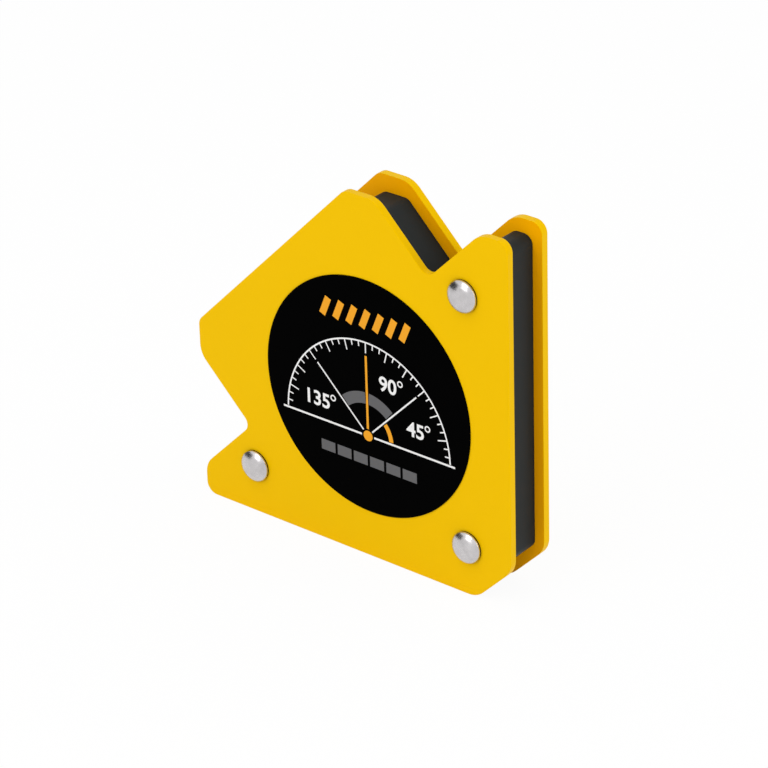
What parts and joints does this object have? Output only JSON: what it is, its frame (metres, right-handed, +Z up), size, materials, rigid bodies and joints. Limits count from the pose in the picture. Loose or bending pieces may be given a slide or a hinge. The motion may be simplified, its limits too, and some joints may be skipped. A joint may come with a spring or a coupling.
{
  "type": "welding magnet holder",
  "caption": "Arrow-shaped magnetic welding square: painted steel plates riveted over a dark moulded frame with ferrite blocks, for 45, 90 and 135 degree joints.",
  "frame": {"origin": "centre of the bounding box in X and Y, on the plane that the lower leg edges of both plates stand on", "axes": "+X square to the upright leg's edges, away from the plates; +Y from the labelled front plate to the rear plate; +Z up, along the upright leg"},
  "size_m": [0.0762, 0.0144, 0.0762],
  "materials": {
    "yellow_paint": "gloss enamel with a slight orange peel",
    "dark_plastic": "satin moulded",
    "ferrite": "ground, dull",
    "nickel_plate": "bright plated",
    "label_film": "glossy printed film"
  },
  "bodies": {
    "root": {"front_plate": "yellow_paint", "rear_plate": "yellow_paint", "core_frame": "dark_plastic", "upper_magnet": "ferrite", "middle_magnet": "ferrite", "lower_magnet": "ferrite", "rivets": "nickel_plate", "label": "label_film"}
  },
  "joints": []
}
